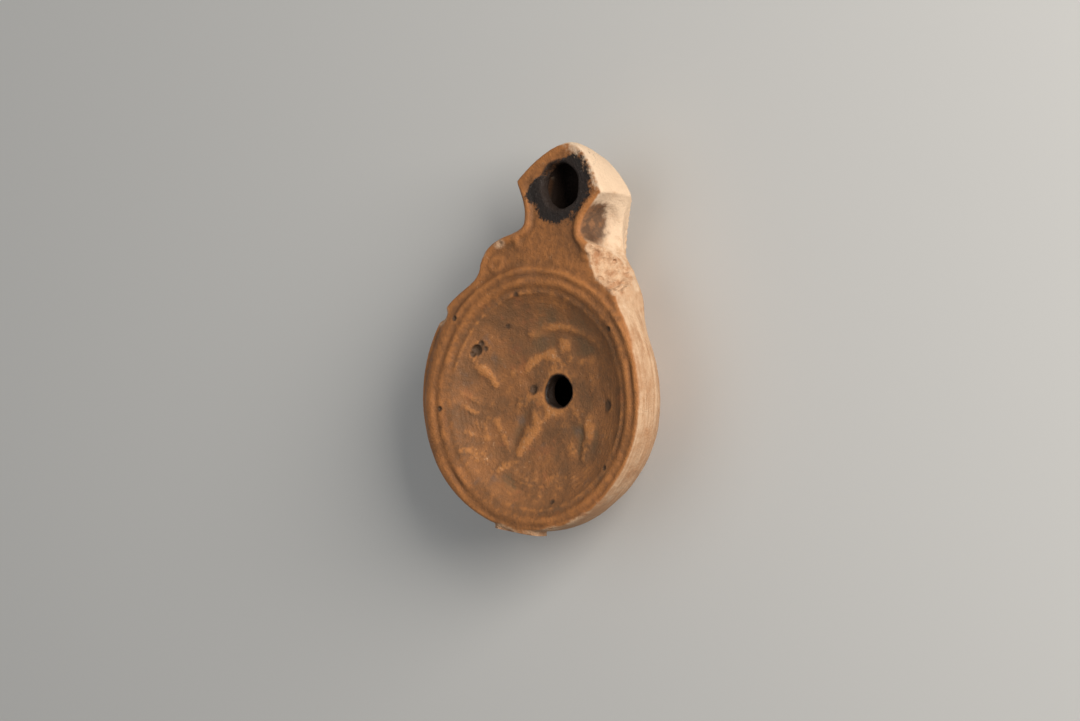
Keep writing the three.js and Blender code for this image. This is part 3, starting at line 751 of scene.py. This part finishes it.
crest, swell, wall_trace, broken, pitted, raised, inside = (trace(name) for name in traces)
patch, patch2, fleck = grain(9, 4), grain(15, 3, seed=3), grain(1.6, 4, seed=5)
radius = (px * px + py * py) ** 0.5
corner_side = (px * 0.66 + py * 0.75 - 44.0).ramp(3.0, 8.0) * py.ramp(46.0, 52.0)  # worn edge on the +X side
outer = (wall_trace + fleck * 0.25 + patch * 0.2 + corner_side * (0.55 + fleck * 0.8)).ramp(0.25, 0.85)

# painted shade: a greyer tone at the head of the disc
painted_shade_at_head = (1.0 - near(3.0, 17.5, 13.0, 8.0)).ramp(0.6, 1.6) * 0.6  # greyer at the head of the disc
# the slip, browner and greyer in places and oranger where the moulding stands out: partly the slip's tone,
# partly painted highlight on ridges and swells and painted shade greying the recesses
body_tone = (patch * 1.5 + fleck * 0.6 + swell * 0.25).ramp(-0.45, 0.5)
body_tone = body_tone.mix(tone(124, 86, 54), tone(156, 103, 60))
# painted highlight: oranger on ridges and raised relief, mixed with patches of the slip's own tone
slip_and_ridge_highlight = (crest * 0.55 + raised * 0.6 + patch * 0.7 + fleck * 0.9).ramp(0.12, 0.85)
colour = (slip_and_ridge_highlight * 0.85).mix(body_tone, tone(194, 128, 70))
# painted shade: greyer in grooves and cuts of the relief, mixed with grey patches of the slip
grey_and_recess_shade = (patch2 * 1.6 + painted_shade_at_head - crest * 0.3 - raised * 0.6 + fleck * 0.6).ramp(0.1, 0.8)
colour = (grey_and_recess_shade * 0.75).mix(colour, tone(108, 86, 60))
ashen = (grain(5, 4, seed=8) * 1.3 + patch2 * 0.8 - raised * 0.4).ramp(0.25, 0.7)
colour = (ashen * 0.6).mix(colour, tone(112, 92, 78))
reddish = (grain(6, 4, seed=11) + fleck * 0.4).ramp(0.15, 0.45)
colour = (reddish * 0.5).mix(colour, tone(156, 96, 60))
off_disc = (radius + fleck * 3.0).ramp(27.0, 31.0)
ochre = (fleck * 0.9 + patch + crest * 0.5).ramp(-0.5, 0.5).mix(tone(136, 86, 44), tone(176, 112, 58))
colour = (off_disc * 0.7).mix(colour, ochre)
pale = (grain(1.3, 5, 0.75, seed=13) + raised * 0.12 + patch * 0.2).ramp(0.2, 0.5)
colour = (pale * 0.7).mix(colour, tone(205, 160, 120))
dark = grain(1.7, 5, 0.75, seed=15).ramp(0.16, 0.45)
colour = (dark * 0.5).mix(colour, tone(98, 74, 52))

# the chalky wall, streaked round the bowl
around = place.node("ShaderNodeVectorMath", {0: place, 1: (0.16, 0.16, 2.4)}, operation="MULTIPLY")
on_bowl = 1.0 - py.ramp(18.0, 34.0)
streak = grain(2.2, 5, 0.6, seed=17, at=around) * on_bowl
chalky = (streak * 1.1 + patch * 0.6 + grain(3, 4, 0.65, seed=18) * 0.8 + py / 160.0).ramp(-0.4, 0.6)
wall_colour = chalky.mix(tone(176, 132, 96), tone(208, 173, 139))
stain = (grain(5, 5, 0.7, seed=23) + streak * 0.4 + pz / 90.0).ramp(0.3, 0.75)
wall_colour = (stain * 0.65).mix(wall_colour, tone(172, 118, 76))
mottle = grain(1.2, 5, 0.75, seed=24).ramp(0.15, 0.45)
wall_colour = (mottle * 0.45).mix(wall_colour, tone(158, 116, 82))
# painted shade: darker brown in the hollows of the nozzle's wall
painted_hollow_shade = (-crest - swell * 0.5 + fleck).ramp(0.3, 1.2) * (1.0 - on_bowl)
wall_colour = (painted_hollow_shade * 0.9).mix(wall_colour, tone(140, 94, 58))
# the wall paler toward the nozzle's flank and end wall
paler_toward_nozzle = (py / 40.0 + patch * 0.6 + fleck * 0.6).ramp(0.75, 1.25) * (1.0 - stain * 0.6) * (1.0 - mottle * 0.6)
wall_colour = (paler_toward_nozzle * 0.8).mix(wall_colour, tone(226, 198, 168))
# painted shade: dark brown in the hollows scooped into the sides of the neck
painted_scoop_shade = (((py - SCOOP[1] + 0.4) / 6.2) ** 2.0 + ((pz - SCOOP[2] - 1.5) / 6.4) ** 2.0) ** 0.5
painted_scoop_shade = (1.0 - painted_scoop_shade + fleck * 0.25 + patch * 0.15).ramp(-0.02, 0.3)
painted_scoop_shade_colour = (fleck + crest * 0.5 + grain(2.4, 4, 0.7, seed=71)).ramp(-0.3, 0.5)
painted_scoop_shade_colour = painted_scoop_shade_colour.mix(tone(76, 46, 24), tone(128, 82, 46))
wall_colour = (painted_scoop_shade * 0.92).mix(wall_colour, painted_scoop_shade_colour)
colour = outer.mix(colour, wall_colour)

# breaks, pits and specks
broken_colour = (grain(2.4, 4, 0.7, seed=27) + fleck * 0.6).ramp(-0.5, 0.4)
broken_colour = broken_colour.mix(tone(178, 124, 84), tone(220, 184, 148))
colour = (broken * 0.9).mix(colour, broken_colour)
speck = grain(0.55, 1.0, seed=29).ramp(0.56, 0.66) * patch.ramp(-0.1, 0.15)
colour = (speck * 0.7).mix(colour, tone(70, 50, 36))
colour = (pitted * 0.85).mix(colour, tone(70, 52, 36))

# soot, ragged at its edge and flecked with ash and brown
ring = near(WICK[0] + 0.2, WICK[1] + 0.7, 9.8, 9.2)
toward_neck = near(0.0, 51.0, 6.4, 5.3)
toward_corner = near(-5.0, 54.6, 6.2, 5.0)
reach = ring.math("MINIMUM", toward_neck).math("MINIMUM", toward_corner)
ragged = grain(2.2, 5, 0.7, seed=31) * 0.45 + grain(0.7, 3, 0.7, seed=37) * 0.25
edge_worn = (-(px * 0.66) + py * 0.75 - 44.0).ramp(0.0, 5.0)  # rubbed off along the edge on the -X side
soot = (-(reach + ragged + edge_worn * 0.8)).ramp(-0.1, 0.12)
soot = soot * pz.ramp(17.0, 21.0)
ash = (grain(1.0, 4, 0.75, seed=41) + edge_worn * 0.2).ramp(0.16, 0.44)
soot_colour = (ash * 0.8).mix(tone(27, 24, 23), tone(98, 94, 92))
brown = (grain(1.9, 4, 0.75, seed=43) + edge_worn * 0.3).ramp(0.24, 0.5)
soot_colour = (brown * 0.8).mix(soot_colour, tone(116, 84, 56))
colour = (soot * 0.97).mix(colour, soot_colour)

# the inside painted dark, partly oil stain and burning toward the wick, partly painted shade in the hollow
burnt = py.ramp(44.0, 50.0)
inner_stain_and_shade_colour = burnt.mix(tone(36, 24, 16), tone(46, 31, 22))
colour = (inside * (1.0 - soot * 0.6)).mix(colour, inner_stain_and_shade_colour)

rough_value = 0.6 + outer * 0.2 + broken * 0.1 - slip_and_ridge_highlight * 0.1 + fleck * 0.3 + soot * 0.1
relief_height = grain(0.45, 4, 0.6, seed=47) * 0.5 + grain(1.5, 4, 0.6, seed=53) * 0.5
relief_height = relief_height + streak * outer * 0.7 + broken * grain(0.9, 5, 0.75, seed=59) * 0.9
relief_height = relief_height + soot * grain(0.9, 4, 0.7, seed=61) * 1.2
bump = place.node(
    "ShaderNodeBump", {"Strength": 1.0, "Distance": 0.00026, "Height": relief_height}, output="Normal"
)
for name, value in (("Base Color", colour), ("Roughness", rough_value), ("Normal", bump)):
    tree.links.new(value.socket, shader.inputs[name])
shader.inputs["Specular IOR Level"].default_value = 0.4
thinned.materials.clear()
thinned.materials.append(clay)

# --- Table, light and camera ------------------------------------------------------------------------------
# A plain pale table, a low warm light from the +X side, a weak one overhead, and a camera that leans to +X.

bpy.ops.mesh.primitive_plane_add(size=6)
floor = bpy.context.object
floor.name = "table"
table = bpy.data.materials.new("table")
table.use_nodes = True
table_shader = table.node_tree.nodes["Principled BSDF"]
table_shader.inputs["Base Color"].default_value = (0.62, 0.61, 0.59, 1)
table_shader.inputs["Roughness"].default_value = 0.9
floor.data.materials.append(table)

YAW = math.radians(39)  # how far the camera leans off the upright
TURN = math.radians(7.7)  # how far it is turned about the upright
across = Vector((math.cos(TURN), math.sin(TURN), 0))
upward = Vector((-math.sin(TURN), math.cos(TURN), 0))
centre = Vector((-BOWL[0] * MM, -BOWL[1] * MM, HEIGHT * MM))
back = math.sin(YAW) * across + math.cos(YAW) * Vector((0, 0, 1))
right = upward.cross(back)
DISTANCE = 0.9
LENS = 117.4

camera = bpy.data.objects.new("camera", bpy.data.cameras.new("camera"))
bpy.context.scene.collection.objects.link(camera)
camera.data.lens = LENS
camera.data.sensor_width = 36
camera.location = centre + DISTANCE * back
aim = centre + 0.00225 * right + 0.01035 * upward
facing = (camera.location - aim).normalized()
sideways = upward.cross(facing).normalized()
camera.rotation_euler = Matrix((sideways, facing.cross(sideways), facing)).transposed().to_euler()
camera.data.clip_start, camera.data.clip_end = 0.01, 20
bpy.context.scene.camera = camera


def area_light(name, direction, distance, size, power, colour=(1, 1, 1)):
    light = bpy.data.lights.new(name, "AREA")
    light.energy, light.size, light.color = power, size, colour
    thing = bpy.data.objects.new(name, light)
    bpy.context.scene.collection.objects.link(thing)
    direction = Vector(direction).normalized()
    thing.location = centre + distance * direction
    thing.rotation_euler = direction.to_track_quat("Z", "Y").to_euler()


area_light("key", (0.84, 0.42, 0.42), 0.9, 0.5, 9.6, (1, 0.96, 0.9))
area_light("fill", (-0.3, 0.1, 1), 1.2, 1.2, 2.6, (1, 0.99, 0.97))
world = bpy.data.worlds.new("studio")
bpy.context.scene.world = world
world.use_nodes = True
world.node_tree.nodes["Background"].inputs["Color"].default_value = (0.8, 0.85, 0.9, 1)
world.node_tree.nodes["Background"].inputs["Strength"].default_value = 0.22
bpy.context.scene.view_settings.view_transform = "Standard"
